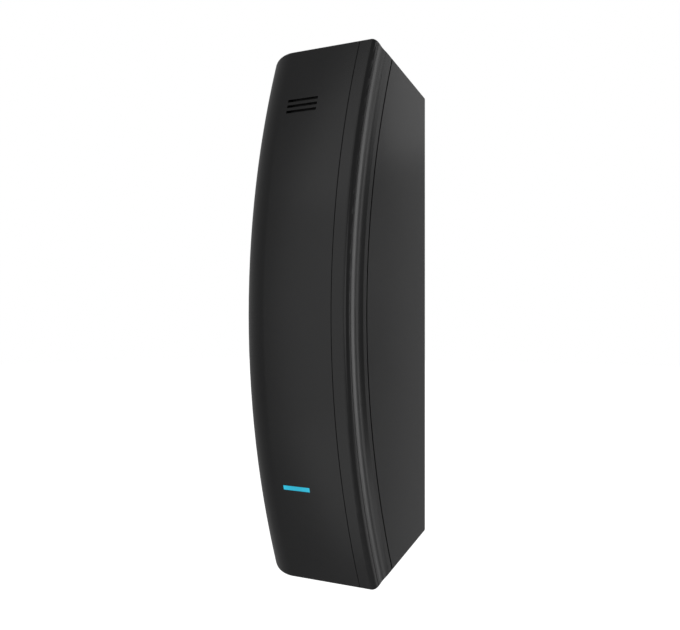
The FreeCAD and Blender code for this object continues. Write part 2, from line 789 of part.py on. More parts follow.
def front_board_screws():
    """Four screws that hold the front board to its spacers."""
    return group("front_board_screws", *[
        pan_head_screw("front_screw", x, z, "front_board_front", "front_board_back - front_screw_reach")
        for x, z in four_places("spacer_x", "spacer_z")])


def frame_screws():
    """Four screws driven from the bracket pocket into the mid frame."""
    screws = []
    head_back = "rear_wall_back - screw_head_height"
    for x, z in four_places("frame_boss_x", "frame_boss_z"):
        head = rod_back("frame_screw_head", "screw_head_radius", "rear_wall_back", head_back, x, z)
        shank = rod_back("frame_screw_shank", "screw_radius", "frame_boss_front - frame_screw_floor",
                         "rear_wall_back - overlap", x, z)
        drive = cross_drive("frame_screw_drive", f"{head_back} + drive_depth", f"{head_back} - overrun", x, z)
        screws.append(cut("frame_screw", fuse("frame_screw_solid", head, shank), *drive))
    return group("frame_screws", *screws)


def board_link():
    """Pin header that joins the two boards."""
    sides = ("-link_half_width", "link_half_width")
    heights = ("-link_z - link_half_height", "-link_z + link_half_height")
    lower = block("link_lower", *sides, "main_board_front + link_height", "main_board_front", *heights)
    upper = block("link_upper", *sides, "front_board_back", "front_board_back - link_height", *heights)
    pins = [rod_back("link_pin", "link_pin_radius", "front_board_back - overrun",
                     "main_board_front + overrun", f"{pin - (LINK_PINS - 1) / 2} * link_pitch", "-link_z")
            for pin in range(LINK_PINS)]
    return fuse("board_link", lower, upper, *pins)


def main_board():
    """Main circuit board, screwed to pillars on the housing's rear wall."""
    half = "main_board_width / 2"
    half_height = "main_board_height / 2"
    blank = block("main_board_blank", f"-{half}", half, "main_board_front", "main_board_back",
                  f"-{half_height}", half_height)
    holes = [rod_back("main_board_hole", "clearance_radius", "main_board_front + overrun",
                      "main_board_back - overrun", x, z)
             for x, z in four_places("board_boss_x", "board_boss_z")]
    return cut("main_board", blank, *holes)


def shield_can():
    """Thin metal can over the radio section, open towards the board."""
    inside = "(can_half_width - can_wall)"
    can = block("can_outside", "-can_half_width", "can_half_width", "main_board_front + can_height",
                "main_board_front", "can_bottom", "can_top")
    hollow = block("can_inside", f"-{inside}", inside, "main_board_front + can_height - can_wall",
                   "main_board_front - overrun", "can_bottom + can_wall", "can_top - can_wall")
    return cut("shield_can", can, hollow)


def controller_chip():
    """Controller on the main board."""
    return block("controller_chip", "-chip_half_width", "chip_half_width", "main_board_front + chip_height",
                 "main_board_front", "-chip_z - chip_half_width", "-chip_z + chip_half_width")


def capacitors():
    """Two round capacitors on the main board."""
    cans = [rod_back("capacitor", "capacitor_radius", "main_board_front + capacitor_height",
                     "main_board_front", f"{side} * capacitor_x", "-capacitor_z") for side in (-1, 1)]
    return group("capacitors", *cans)


def terminal_places():
    """Positions across the width of the terminal ways."""
    return [f"{way - (TERMINAL_WAYS - 1) / 2} * terminal_pitch" for way in range(TERMINAL_WAYS)]


def terminal_block():
    """Row of terminals on the back of the main board: wires enter from below, screws face the wall."""
    half = "terminal_block_width / 2"
    blank = block("terminal_blank", f"-{half}", half, "main_board_back", "terminal_block_back",
                  "-terminal_block_bottom", "-terminal_block_top")
    ports = []
    for x in terminal_places():
        ports.append(block("wire_port", f"{x} - port_half_width", f"{x} + port_half_width",
                           "terminal_block_back + port_front", "terminal_block_back + port_back",
                           "-terminal_block_bottom - overrun", "-terminal_block_bottom + port_depth"))
        ports.append(rod_back("clamp_hole", "clamp_hole_radius", "terminal_block_back + clamp_hole_depth",
                              "terminal_block_back - overrun", x, "-terminal_block_top - clamp_drop"))
    return cut("terminal_block", blank, *ports)


def terminal_screws():
    """Slotted clamp screws in the terminal block."""
    screws = []
    z = "-terminal_block_top - clamp_drop"
    for x in terminal_places():
        head = rod_back("clamp_screw_head", "clamp_screw_radius", "terminal_block_back + clamp_screw_front",
                        "terminal_block_back + clamp_screw_back", x, z)
        slot = block("clamp_screw_slot", f"{x} - clamp_hole_radius", f"{x} + clamp_hole_radius",
                     "terminal_block_back + clamp_slot_floor", "terminal_block_back - overrun",
                     f"{z} - clamp_slot_half_width", f"{z} + clamp_slot_half_width")
        screws.append(cut("clamp_screw", head, slot))
    return group("terminal_screws", *screws)


def cable_gasket():
    """Foam ring between the housing's rear wall and the bracket, round the cable opening."""
    half = "(terminal_opening_width / 2 + foam_margin)"
    bottom = "-terminal_opening_bottom - foam_margin"
    top = "terminal_opening_top + foam_margin"
    ring = block("foam_outside", f"-{half} - foam_border", f"{half} + foam_border", "rear_wall_back",
                 "bracket_thickness + foam_gap", f"{bottom} - foam_border", f"{top} + foam_border")
    hole = block("foam_inside", f"-{half}", half, "rear_wall_back + overrun", "0", bottom, top)
    return cut("cable_gasket", ring, hole)


def tamper_switch():
    """Switch body on the back of the main board; its plunger points at the wall bracket."""
    half = "(tamper_body / 2)"
    blank = block("tamper_blank", f"tamper_x - {half}", f"tamper_x + {half}", "main_board_back",
                  "tamper_body_back", f"-tamper_z - {half}", f"-tamper_z + {half}")
    chamber = rod_back("tamper_chamber", "chamber_radius", "chamber_front", "chamber_back",
                       "tamper_x", "-tamper_z")
    guide = rod_back("tamper_guide", "plunger_radius + plunger_clearance", "chamber_back + overrun",
                     "tamper_body_back - overrun", "tamper_x", "-tamper_z")
    return cut("tamper_switch", blank, chamber, guide)


def tamper_plunger():
    """Plunger with the flange that its spring pushes on; its tip rests against the bracket."""
    stem = rod_back("plunger_stem", "plunger_radius", "flange_front - overlap", "plunger_tip",
                    "tamper_x", "-tamper_z")
    flange = rod_back("plunger_flange", "flange_radius", "flange_front", "flange_back",
                      "tamper_x", "-tamper_z")
    return fuse("tamper_plunger", stem, flange)


def tamper_spring():
    """Small coil spring between the switch body and the plunger's flange."""
    wire = worth("spring_wire")
    front = worth("chamber_front - spring_gap - spring_wire")
    back = worth("flange_front + spring_gap + spring_wire")
    radius = worth("chamber_radius - spring_side_gap - spring_wire")
    coil = Part.makeHelix((front - back) / worth("spring_coils"), front - back, radius)
    start = FreeCAD.Vector(radius, 0, 0)
    section = Part.Wire(Part.makeCircle(wire, start, FreeCAD.Vector(0, 1, 0)))
    spring = doc.addObject("Part::Feature", "tamper_spring")
    spring.Shape = Part.Wire(coil.Edges).makePipeShell([section], True, True)
    place = FreeCAD.Vector(worth("tamper_x"), -front, -worth("tamper_z"))
    spring.Placement = FreeCAD.Placement(place, FreeCAD.Rotation(FreeCAD.Vector(1, 0, 0), -90))
    return spring


def lock_screw():
    """Security screw in the bottom of the housing, with a six-sided socket in its head."""
    seat = "-lock_seat - lock_gap"
    head_bottom = f"{seat} - lock_head_height"
    head = rod_up("lock_head", "lock_head_radius", head_bottom, seat, "0", "lock_depth")
    shank = rod_up("lock_shank", "lock_screw_radius", f"{seat} - overlap", "-lock_tip", "0", "lock_depth")
    socket = doc.addObject("Part::Prism", "lock_socket")
    socket.Polygon = SOCKET_SIDES
    bind(socket, Circumradius="lock_socket_radius", Height="lock_socket_depth + overrun")
    at(socket, "0", "-lock_depth", f"{head_bottom} - overrun")
    return cut("lock_screw", fuse("lock_solid", head, shank), socket)


def lock_nut():
    """Square nut above the bracket's ear."""
    half = "lock_nut_width / 2"
    bottom = "-ear_bottom + ear_thickness + lock_gap"
    top = f"{bottom} + lock_nut_height"
    blank = block("nut_blank", f"-{half}", half, f"lock_depth + {half}", f"lock_depth - {half}", bottom, top)
    hole = rod_up("nut_hole", "lock_screw_radius + lock_gap", f"{bottom} - overrun", f"{top} + overrun",
                  "0", "lock_depth")
    return cut("lock_nut", blank, hole)


def sounder():
    """Flat round sounder on the front board behind the slots."""
    half = "sounder_base / 2"
    base = block("sounder_base", f"-{half}", half, "front_board_front + sounder_base_height",
                 "front_board_front", f"slot_z - {half}", f"slot_z + {half}")
    top = "front_board_front + sounder_height"
    drum = rod_back("sounder_drum", "sounder_radius", top, "front_board_front + overlap", "0", "slot_z")
    port = rod_back("sounder_port", "sounder_port_radius", f"{top} + overrun",
                    "front_board_front + sounder_port_floor", "0", "slot_z")
    return cut("sounder", fuse("sounder_solid", base, drum), port)


def sounder_mesh():
    """Splash membrane on the inside of the cover, over the sounder slots."""
    patch = front_slot("mesh_patch", "mesh_half_width",
                       "slot_z - mesh_half_height", "slot_z + mesh_half_height")
    front = "front_level - cover_wall - mesh_gap"
    return common("sounder_mesh", patch, shell("mesh_band", front, f"{front} - mesh_thickness"))


def build():
    """Make every sub-part and return them."""
    outer = envelope("outer_form", "0", "0", with_small_edges=True)
    inner = envelope("inner_form", "housing_wall", "-overrun")
    return [
        wall_bracket(), rear_housing(outer, inner), housing_gasket(inner), mid_frame(outer),
        edge_rail(outer), front_cover(outer), light_guide(), status_lights(), front_board(),
        antenna_coil(), ferrite_sheet(), board_spacers(), front_board_screws(), board_link(),
        main_board(), board_screws(), shield_can(), controller_chip(), capacitors(), terminal_block(),
        terminal_screws(), cable_gasket(), tamper_switch(), tamper_plunger(), tamper_spring(),
        frame_screws(), lock_screw(), lock_nut(), sounder(), sounder_mesh(),
    ]


def check(parts):
    """Stop if any object failed or any sub-part is not a sound solid."""
    for item in doc.Objects:
        if "Invalid" in item.State or "Error" in item.State:
            raise RuntimeError(f"{item.Label} failed: {item.State}")
    for part in parts:
        if part.Shape.isNull() or not part.Shape.isValid() or not part.Shape.Solids:
            raise RuntimeError(f"{part.Label} is not a sound solid")


def write(parts):
    """Write each sub-part to its own file."""
    os.makedirs("parts", exist_ok=True)
    for part in parts:
        part.Shape.exportStep(f"parts/{part.Label}.step")
        print(f"{part.Label}: {len(part.Shape.Solids)} solid(s), {part.Shape.Volume:.1f} mm3")


fill_sheet()
sub_parts = build()
doc.recompute()
check(sub_parts)
write(sub_parts)
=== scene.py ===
"""Wall-mounted card reader: looks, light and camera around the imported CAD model.

Metres, in the frame's own axes: X across the reader, Z up, the wall at Y = 0 and the reader in front
of it, towards -Y.
"""
import bpy
import json
import math
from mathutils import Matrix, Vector


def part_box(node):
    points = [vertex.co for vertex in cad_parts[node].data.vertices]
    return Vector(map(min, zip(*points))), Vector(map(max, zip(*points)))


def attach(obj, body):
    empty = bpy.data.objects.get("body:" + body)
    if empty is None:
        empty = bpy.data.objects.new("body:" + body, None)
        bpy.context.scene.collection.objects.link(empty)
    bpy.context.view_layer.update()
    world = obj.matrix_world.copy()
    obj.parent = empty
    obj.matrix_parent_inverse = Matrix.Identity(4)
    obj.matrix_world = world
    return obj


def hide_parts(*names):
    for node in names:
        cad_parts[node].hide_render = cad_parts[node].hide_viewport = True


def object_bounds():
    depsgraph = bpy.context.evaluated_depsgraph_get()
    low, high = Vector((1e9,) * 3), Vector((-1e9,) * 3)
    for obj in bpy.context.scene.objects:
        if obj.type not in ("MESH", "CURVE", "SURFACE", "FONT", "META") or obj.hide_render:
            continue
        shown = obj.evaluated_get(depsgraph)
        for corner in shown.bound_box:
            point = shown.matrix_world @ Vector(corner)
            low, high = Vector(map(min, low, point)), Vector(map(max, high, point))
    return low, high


MM = 0.001
WHITE = (1.0, 1.0, 1.0, 1.0)

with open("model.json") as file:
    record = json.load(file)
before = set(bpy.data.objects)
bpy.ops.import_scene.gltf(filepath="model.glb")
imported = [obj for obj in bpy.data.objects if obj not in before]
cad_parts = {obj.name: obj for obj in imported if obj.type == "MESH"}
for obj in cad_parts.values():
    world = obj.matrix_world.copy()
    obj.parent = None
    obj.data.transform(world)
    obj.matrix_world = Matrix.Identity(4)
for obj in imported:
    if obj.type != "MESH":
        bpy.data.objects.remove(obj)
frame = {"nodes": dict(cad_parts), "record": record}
cad_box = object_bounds()
CAD_LOW, CAD_HIGH = (Vector(corner) for corner in cad_box)
BODIES = frame["record"]["behaviour"]["bodies"]
BODY_OF = {node_name: body for body, members in BODIES.items() for node_name in members}


# ---------------------------------------------------------------- shader building blocks

# Sockets of Blender's Mix node, which share their names and so go by number.
MIX_FACTOR = 0
FLOAT_A, FLOAT_B, FLOAT_MIX = 2, 3, 0
COLOUR_A, COLOUR_B, COLOUR_MIX = 6, 7, 2

# Nearly all of a noise pattern lies between these two values.
NOISE_LOW = 0.3
NOISE_HIGH = 0.7

# Radians that Blender's wave texture turns through in one unit at scale 1.
WAVE_RATE = 20


def new_material(name):
    material = bpy.data.materials.new(name)
    material.use_nodes = True
    tree = material.node_tree
    return material, tree, tree.nodes["Principled BSDF"]


def node(tree, kind, **settings):
    """Adds a node; a setting is an input if the node has one of that name, else a property."""
    made = tree.nodes.new(kind)
    for key, value in settings.items():
        if key in made.inputs:
            made.inputs[key].default_value = value
        else:
            setattr(made, key, value)
    return made


def join(tree, a, out, b, into):
    tree.links.new(a.outputs[out], b.inputs[into])


def place(tree, stretch=(1, 1, 1)):
    """The object's own coordinates, stretched along its axes."""
    where = node(tree, "ShaderNodeTexCoord")
    scaled = node(tree, "ShaderNodeMapping", Scale=stretch)
    join(tree, where, "Object", scaled, "Vector")
    return scaled


def noise(tree, where, size, detail=3.0, rough=0.5):
    """Cloudy pattern whose features are about size metres across."""
    made = node(tree, "ShaderNodeTexNoise", Scale=1 / size, Detail=detail, Roughness=rough)
    join(tree, where, "Vector", made, "Vector")
    return made


def cells(tree, where, size):
    """Rounded cells about size metres across; Distance is 0 at their middles."""
    made = node(tree, "ShaderNodeTexVoronoi", Scale=1 / size)
    join(tree, where, "Vector", made, "Vector")
    return made


def stripes(tree, where, pitch, direction):
    """Parallel bands, pitch metres apart, counted along one axis."""
    made = node(tree, "ShaderNodeTexWave", Scale=math.tau / (WAVE_RATE * pitch))
    made.bands_direction = direction
    join(tree, where, "Vector", made, "Vector")
    return made


def ramp(tree, source, out, low, high, start=0.0, end=1.0):
    """Maps source from start..end to low..high, held at both ends."""
    made = node(tree, "ShaderNodeMapRange")
    made.inputs["From Min"].default_value = start
    made.inputs["From Max"].default_value = end
    made.inputs["To Min"].default_value = low
    made.inputs["To Max"].default_value = high
    join(tree, source, out, made, "Value")
    return made


def around(colour, spread):
    """The same colour a little darker and a little lighter."""
    return [c * (1 - spread) for c in colour], [c * (1 + spread) for c in colour]


def tint(tree, bsdf, source, out, tones, start=NOISE_LOW, end=NOISE_HIGH, into="Base Color"):
    """Colours the surface from the first to the second of two tones, following source."""
    made = node(tree, "ShaderNodeMix", data_type="RGBA")
    made.inputs[COLOUR_A].default_value = (*tones[0], 1)
    made.inputs[COLOUR_B].default_value = (*tones[1], 1)
    span = ramp(tree, source, out, 0.0, 1.0, start, end)
    join(tree, span, "Result", made, MIX_FACTOR)
    join(tree, made, COLOUR_MIX, bsdf, into)


def sheen(tree, bsdf, source, low, high, start=NOISE_LOW, end=NOISE_HIGH):
    """Roughness between low and high, following a noise pattern."""
    join(tree, ramp(tree, source, "Fac", low, high, start, end), "Result", bsdf, "Roughness")


def relief(tree, bsdf, source, out, depth, strength=0.35):
    """Fine bumps; a negative strength turns them inside out."""
    bump = node(tree, "ShaderNodeBump", Strength=strength, Distance=depth)
    join(tree, source, out, bump, "Height")
    join(tree, bump, "Normal", bsdf, "Normal")


# ---------------------------------------------------------------- materials

MOULD_DRIFT = 40 * MM
MOULD_SHEEN = 25 * MM
MOULD_SHEEN_SPREAD = 0.015
MOULD_GRAIN = 0.2 * MM
MOULD_GRAIN_DEPTH = 0.006 * MM

METAL_SCRATCH = 0.15 * MM
METAL_SCRATCH_DEPTH = 0.003 * MM
METAL_SPREAD = 0.12
METAL_TARNISH = 18 * MM
METAL_POLISHED = 0.05
METAL_DULLED = 0.07

FOAM_PORE_SHADE = 0.5
FOAM_DEPTH = 0.12 * MM

TRACK_PITCH_ACROSS = 1.3 * MM
TRACK_PITCH_ALONG = 1.9 * MM
TRACK_FIELD = 7 * MM
TRACK_DEPTH = 0.03 * MM

SPECK_CLOUD = 8 * MM
SPECK_DEPTH = 0.01 * MM

MILK_FLOW = 3 * MM
MILK_SPREAD = 0.06
MILK_DEPTH = 0.01 * MM
MILK_REACH = (0.8 * MM, 0.8 * MM, 0.7 * MM)

WEAVE_OPENING_SHADE = 0.7
WEAVE_DEPTH = 0.05 * MM

ROUGHNESS_SPREAD = 0.05

GLOW_HAZE = 1.5 * MM
GLOW_SPREAD = 0.04
GLOW_PLATEAU = 0.3
UNLIT_SHARE = 0.1
UNLIT_SPREAD = 0.1


def moulded(name, colour, rough, spread=0.12):
    """Moulded plastic: fine spark-eroded grain, soft colour drift and uneven sheen."""
    material, tree, bsdf = new_material(name)
    where = place(tree)
    tint(tree, bsdf, noise(tree, where, MOULD_DRIFT), "Fac", around(colour, spread))
    sheen(tree, bsdf, noise(tree, where, MOULD_SHEEN),
          rough - MOULD_SHEEN_SPREAD, rough + MOULD_SHEEN_SPREAD)
    relief(tree, bsdf, noise(tree, where, MOULD_GRAIN, detail=2.0), "Fac", MOULD_GRAIN_DEPTH)
    return material


def metal(name, colour, rough, stretch=(1, 1, 1)):
    """Bare or plated metal: streaks or spots along the stretch, under a faint cloudy tarnish."""
    material, tree, bsdf = new_material(name)
    streaks = noise(tree, place(tree, stretch), METAL_SCRATCH, detail=4.0, rough=0.6)
    tint(tree, bsdf, streaks, "Fac", around(colour, METAL_SPREAD))
    tarnish = noise(tree, place(tree), METAL_TARNISH, detail=4.0)
    sheen(tree, bsdf, tarnish, rough - METAL_POLISHED, rough + METAL_DULLED)
    relief(tree, bsdf, streaks, "Fac", METAL_SCRATCH_DEPTH)
    bsdf.inputs["Metallic"].default_value = 1.0
    return material


def foam(name, colour, cell):
    """Open foam: soft bubbles, with painted shade darkening the pores between them."""
    material, tree, bsdf = new_material(name)
    pores = cells(tree, place(tree), cell)
    dark, light = around(colour, FOAM_PORE_SHADE)
    # painted shade: the pores between the bubbles are coloured darker than the bubbles
    tint(tree, bsdf, pores, "Distance", (light, dark), start=0.1, end=0.6)
    relief(tree, bsdf, pores, "Distance", FOAM_DEPTH, strength=-0.8)
    bsdf.inputs["Roughness"].default_value = 0.95
    return material


def circuit_board(name, mask, copper):
    """Solder mask over copper: fields of fine tracks, upright or level, show through in a lighter tone."""
    material, tree, bsdf = new_material(name)
    where = place(tree)
    across = stripes(tree, where, TRACK_PITCH_ACROSS, "X")
    along = stripes(tree, where, TRACK_PITCH_ALONG, "Z")
    routes = node(tree, "ShaderNodeMix", data_type="FLOAT")
    fields = ramp(tree, noise(tree, where, TRACK_FIELD, detail=0.0), "Fac", 0.0, 1.0, start=0.49, end=0.51)
    join(tree, fields, "Result", routes, MIX_FACTOR)
    join(tree, across, "Fac", routes, FLOAT_A)
    join(tree, along, "Fac", routes, FLOAT_B)
    tint(tree, bsdf, routes, FLOAT_MIX, (mask, copper), start=0.78, end=0.84)
    relief(tree, bsdf, routes, FLOAT_MIX, TRACK_DEPTH, strength=0.25)
    bsdf.inputs["Roughness"].default_value = 0.32
    return material


def speckled(name, colour, rough, grain, spread, specular=0.4):
    """Matt compound with fine specks: moulding epoxy, pressed powder, rubber."""
    material, tree, bsdf = new_material(name)
    where = place(tree)
    specks = noise(tree, where, grain, detail=4.0, rough=0.7)
    tint(tree, bsdf, specks, "Fac", around(colour, spread))
    sheen(tree, bsdf, noise(tree, where, SPECK_CLOUD), rough - ROUGHNESS_SPREAD, rough + ROUGHNESS_SPREAD)
    relief(tree, bsdf, specks, "Fac", SPECK_DEPTH)
    bsdf.inputs["Specular IOR Level"].default_value = specular
    return material


def milky(name, colour, rough=0.4, scatter=0.3):
    """Slightly translucent plastic."""
    material, tree, bsdf = new_material(name)
    flow = noise(tree, place(tree), MILK_FLOW, detail=4.0)
    tint(tree, bsdf, flow, "Fac", around(colour, MILK_SPREAD))
    sheen(tree, bsdf, flow, rough - ROUGHNESS_SPREAD, rough + ROUGHNESS_SPREAD, start=0.0, end=1.0)
    relief(tree, bsdf, flow, "Fac", MILK_DEPTH)
    bsdf.inputs["Subsurface Weight"].default_value = scatter
    bsdf.inputs["Subsurface Radius"].default_value = MILK_REACH
    return material


def woven(name, colour, pitch):
    """Fine cloth of crossing threads, with painted shade darkening the openings between them."""
    material, tree, bsdf = new_material(name)
    where = place(tree)
    cross = node(tree, "ShaderNodeMath", operation="MAXIMUM")
    join(tree, stripes(tree, where, pitch, "X"), "Fac", cross, 0)
    join(tree, stripes(tree, where, pitch, "Z"), "Fac", cross, 1)
    # painted shade: the openings between the threads are coloured darker than the threads
    tint(tree, bsdf, cross, 0, around(colour, WEAVE_OPENING_SHADE), start=0.2, end=0.9)
    relief(tree, bsdf, cross, 0, WEAVE_DEPTH, strength=0.8)
    bsdf.inputs["Roughness"].default_value = 0.7
    return material


def glowing_bar(name, colour, middle, ends, half_length):
    """Lit light guide: brightness from middle to ends, over a faint haze."""
    material, tree, bsdf = new_material(name)
    where = node(tree, "ShaderNodeTexCoord")
    axes = node(tree, "ShaderNodeSeparateXYZ")
    join(tree, where, "Object", axes, "Vector")
    from_middle = node(tree, "ShaderNodeMath", operation="ABSOLUTE")
    join(tree, axes, "X", from_middle, 0)
    glow = ramp(tree, from_middle, 0, middle, ends, GLOW_PLATEAU * half_length, half_length)
    join(tree, glow, "Result", bsdf, "Emission Strength")
    haze = noise(tree, place(tree), GLOW_HAZE, detail=2.0)
    tint(tree, bsdf, haze, "Fac", around(colour, GLOW_SPREAD), into="Emission Color")
    tint(tree, bsdf, haze, "Fac", around([UNLIT_SHARE * c for c in colour], UNLIT_SPREAD))
    bsdf.inputs["Roughness"].default_value = 0.3
    return material


CASE_BLACK = (0.010, 0.010, 0.0105)
CASE_ROUGH = 0.25
LIGHT_BLUE = (0.02, 0.45, 0.63)
LIT_HALF_LENGTH = 6.2 * MM
GREEN_MASK, GREEN_TRACK = (0.006, 0.075, 0.030), (0.02, 0.16, 0.06)
BLACK_MASK, BLACK_TRACK = (0.010, 0.011, 0.013), (0.04, 0.042, 0.045)

FINISH = {
    "cover_black": moulded("cover_black", CASE_BLACK, CASE_ROUGH),
    "rail_black": moulded("rail_black", CASE_BLACK, CASE_ROUGH),
    "housing_black": moulded("housing_black", CASE_BLACK, CASE_ROUGH),
    "switch_plastic": moulded("switch_plastic", (0.02, 0.02, 0.022), 0.4),
    "terminal_plastic": moulded("terminal_plastic", (0.03, 0.22, 0.09), 0.38, spread=0.1),
    "bracket_steel": metal("bracket_steel", (0.56, 0.56, 0.55), 0.36, stretch=(1, 1, 0.02)),
    "zinc_steel": metal("zinc_steel", (0.62, 0.62, 0.60), 0.30),
    "black_steel": metal("black_steel", (0.06, 0.06, 0.065), 0.42),
    "tinned_can": metal("tinned_can", (0.68, 0.68, 0.66), 0.28, stretch=(1, 1, 0.05)),
    "copper": metal("copper", (0.80, 0.38, 0.20), 0.30),
    "capacitor_can": metal("capacitor_can", (0.66, 0.67, 0.68), 0.26, stretch=(1, 0.05, 1)),
    "seal_rubber": speckled("seal_rubber", (0.012, 0.012, 0.012), 0.75, 0.3 * MM, 0.3, specular=0.25),
    "ferrite": speckled("ferrite", (0.035, 0.03, 0.028), 0.7, 0.25 * MM, 0.5),
    "chip_black": speckled("chip_black", (0.022, 0.022, 0.024), 0.5, 0.12 * MM, 0.4),
    "light_chip": speckled("light_chip", (0.80, 0.66, 0.22), 0.35, 0.3 * MM, 0.15),
    "foam": foam("foam", (0.035, 0.035, 0.037), 0.7 * MM),
    "board_green": circuit_board("board_green", GREEN_MASK, GREEN_TRACK),
    "board_black": circuit_board("board_black", BLACK_MASK, BLACK_TRACK),
    "nylon": milky("nylon", (0.78, 0.77, 0.72)),
    "plunger_white": milky("plunger_white", (0.82, 0.82, 0.80), 0.35, 0.15),
    "membrane": woven("membrane", (0.02, 0.02, 0.02), 0.25 * MM),
    "light_guide": glowing_bar("light_guide", LIGHT_BLUE, middle=0.92, ends=1.1, half_length=LIT_HALF_LENGTH),
}


def dress(objects):
    """Gives every material slot its finish, by the name the CAD colour carries."""
    for o in objects:
        for slot in o.material_slots:
            kind = slot.material.name.split(".")[0]
            slot.material = FINISH[kind]


# ---------------------------------------------------------------- controller chip with its legs

LEGS_A_SIDE = 12
LEG_WIDTH = 0.3 * MM
LEG_PITCH = 0.65 * MM
LEG_THICKNESS = 0.15 * MM
LEG_REACH = 1.0 * MM
LEG_KNEE = 0.3
LEG_ANKLE = 0.5
CHIP_STAND_OFF = 0.1 * MM
CHIP_BEVEL = 0.12 * MM
CHIP_SIDES = (Vector((1, 0, 0)), Vector((-1, 0, 0)), Vector((0, 0, 1)), Vector((0, 0, -1)))


def add_mesh(name, points, faces, finish, node_name):
    """New piece, in one finish, that stands for a CAD node and rides on that node's body."""
    mesh = bpy.data.meshes.new(name)
    mesh.from_pydata(points, [], faces)
    piece = bpy.data.objects.new(name, mesh)
    bpy.context.scene.collection.objects.link(piece)
    mesh.materials.append(FINISH[finish])
    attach(piece, BODY_OF[node_name])
    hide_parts(node_name)


def ring_walls(rings):
    """Faces that join each ring of points to the next, with a cap on the first and on the last."""
    count = len(rings[0])
    faces = [list(reversed(range(count)))]
    for level in range(len(rings) - 1):
        for i in range(count):
            j = (i + 1) % count
            low, high = level * count, (level + 1) * count
            faces.append((low + i, low + j, high + j, high + i))
    faces.append([(len(rings) - 1) * count + i for i in range(count)])
    return [point for ring in rings for point in ring], faces


def chip_body(low, high, middle):
    """Flat moulded body: widest at mid-height, drafted towards its top and its underside."""
    half = (high.x - low.x) / 2 - LEG_REACH
    back, front = high.y - CHIP_STAND_OFF, low.y
    waist = (back + front) / 2
    rings = []
    for y, inset in ((back, CHIP_BEVEL), (waist, 0.0), (front, CHIP_BEVEL)):
        r = half - inset
        corners = ((-r, -r), (r, -r), (r, r), (-r, r))
        rings.append([(middle.x + x, y, middle.z + z) for x, z in corners])
    return ring_walls(rings), half, waist


def leg(middle, outwards, along, half, waist, foot):
    """One gull-wing leg, shifted along the body's side: out of it, down, and flat on the board."""
    path = (
        (half - CHIP_BEVEL, waist), (half + LEG_KNEE * LEG_REACH, waist),
        (half + LEG_ANKLE * LEG_REACH, foot), (half + LEG_REACH, foot),
    )
    across = Vector((outwards.z, 0, -outwards.x)) * LEG_WIDTH / 2
    thick = Vector((0, -LEG_THICKNESS, 0))
    rings = []
    for out, y in path:
        spot = Vector((middle.x, y, middle.z)) + outwards * out + along
        rings.append([spot - across, spot - across + thick, spot + across + thick, spot + across])
    return ring_walls(rings)


def add_chip():
    """Quad flat package in place of the plain block."""
    low, high = (Vector(corner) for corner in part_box("controller_chip"))
    middle = (low + high) / 2
    (points, faces), half, waist = chip_body(low, high, middle)
    add_mesh("controller_body", points, faces, "chip_black", "controller_chip")
    points, faces = [], []
    for outwards in CHIP_SIDES:
        for number in range(LEGS_A_SIDE):
            shift = (number - (LEGS_A_SIDE - 1) / 2) * LEG_PITCH
            along = Vector((outwards.z, 0, outwards.x)) * shift
            more_points, more_faces = leg(middle, outwards, along, half, waist, high.y)
            faces += [[i + len(points) for i in face] for face in more_faces]
            points += more_points
    add_mesh("controller_legs", points, faces, "tinned_can", "controller_chip")


# ---------------------------------------------------------------- lamps and cards

# Turns go from +X towards -Y. A rectangular card with a glow of 1 is as bright as pure white, which takes
# an energy of four times its area.
ENERGY_PER_AREA = 4
LAMP_WIDTH = 0.496
LAMP_DISTANCE = 1.0

# Cards for the front, mirrored near its right-hand edge as the camera sees it: an upright oval, and a
# column of bars, each given by its name, its level in the column and its glow.
FRONT_SPOT = Vector((7 * MM, CAD_LOW.y, 0))
FRONT_MIRROR = math.radians(134)
FRONT_DISTANCE = 90 * MM
OVAL_WIDTH, OVAL_HEIGHT = 120 * MM, 420 * MM
OVAL_ASIDE = -64 * MM
BAR_WIDTH, BAR_HEIGHT = 20 * MM, 110 * MM
BARS = (("front_bar", 0, 0.33), ("front_bar_high", 1, 0.48), ("front_bar_low", -1, 0.42))

# Cards for the right flank: a row of upright strips with one place left empty, each given by its name, its
# place in the row and its glow; a smaller card for the top end; and one low down, turned less to the rear.
FLANK_SPOT = Vector((CAD_HIGH.x, -14 * MM, 0))
FLANK_MIRROR = math.radians(-49)
FLANK_DISTANCE = 120 * MM
STRIP_WIDTH, STRIP_HEIGHT = 24 * MM, 300 * MM
STRIPS = (("flank_near", -0.5, 0.40), ("flank_rear", -1.5, 0.82), ("flank_far", 1.5, 1.10))
TOP_WIDTH, TOP_HEIGHT = 60 * MM, 100 * MM
TOP_ASIDE = -10 * MM
LOW_WIDTH, LOW_HEIGHT = 110 * MM, 60 * MM
LOW_DISTANCE = 200 * MM
LOW_TURN = math.radians(-10)
END_RISE = 110 * MM


def towards(turn, rise=0.0):
    """Unit vector: turn from +X towards -Y, then up by rise."""
    return Vector((math.cos(turn) * math.cos(rise), -math.sin(turn) * math.cos(rise), math.sin(rise)))


def soft_light(name, spot, aim, shape, width, height, glow):
    """Evenly glowing panel that the camera itself does not see."""
    data = bpy.data.lights.new(name, "AREA")
    data.shape = shape
    data.size = width
    data.size_y = height
    data.energy = ENERGY_PER_AREA * width * height * glow
    lamp = bpy.data.objects.new(name, data)
    bpy.context.scene.collection.objects.link(lamp)
    lamp.location = spot
    lamp.rotation_mode = "QUATERNION"
    lamp.rotation_quaternion = aim.to_track_quat("-Z", "Y")
    lamp.visible_camera = False


def round_lamp(name, turn, rise, glow):
    """Far round lamp aimed at the reader; the angles are in degrees."""
    away = towards(math.radians(turn), math.radians(rise))
    soft_light(name, away * LAMP_DISTANCE, -away, "DISK", LAMP_WIDTH, LAMP_WIDTH, glow)


